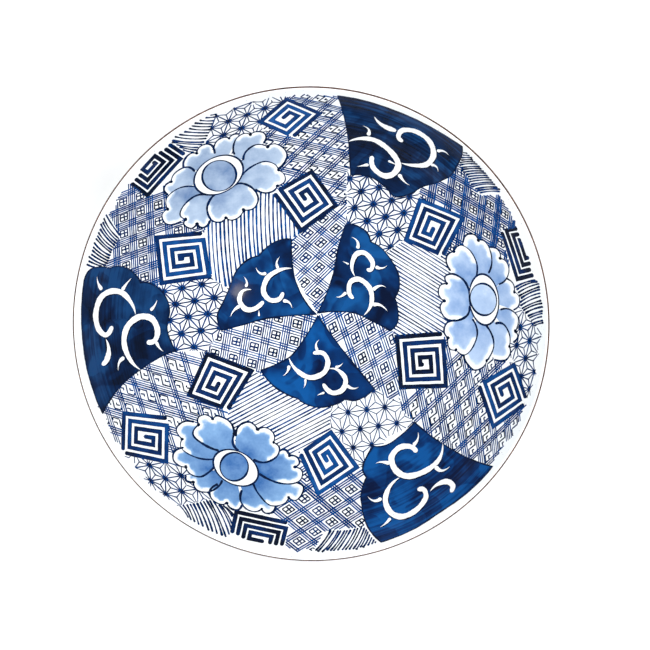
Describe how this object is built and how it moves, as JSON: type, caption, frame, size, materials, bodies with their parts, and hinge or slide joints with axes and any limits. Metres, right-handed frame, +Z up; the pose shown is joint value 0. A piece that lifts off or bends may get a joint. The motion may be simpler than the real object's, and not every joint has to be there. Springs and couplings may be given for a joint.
{
  "type": "porcelain serving bowl",
  "caption": "Shallow round porcelain serving bowl on a turned foot ring, with a wide painted well, a glaze skin inside and out and a brown line on the lip.",
  "frame": {"origin": "middle of the plane that the foot ring rests on", "axes": "+Z up along the bowl's axis of revolution, out of the open mouth; +X and +Y lie in the resting plane"},
  "size_m": [0.3, 0.3, 0.086],
  "materials": {
    "porcelain": "fired white porcelain body, seen only through its glaze",
    "bare_clay": "unglazed, fine matte, slightly warm where the glaze stops",
    "painted_glaze": "underglaze cobalt painting on white under clear gloss glaze",
    "clear_glaze": "clear gloss glaze over white porcelain",
    "iron_line": "iron-brown dressing on the lip, satin gloss"
  },
  "bodies": {
    "root": {"bowl_body": "porcelain", "foot_ring": "bare_clay", "inner_glaze": "painted_glaze", "outer_glaze": "clear_glaze", "base_glaze": "clear_glaze", "rim_line": "iron_line"}
  },
  "joints": []
}
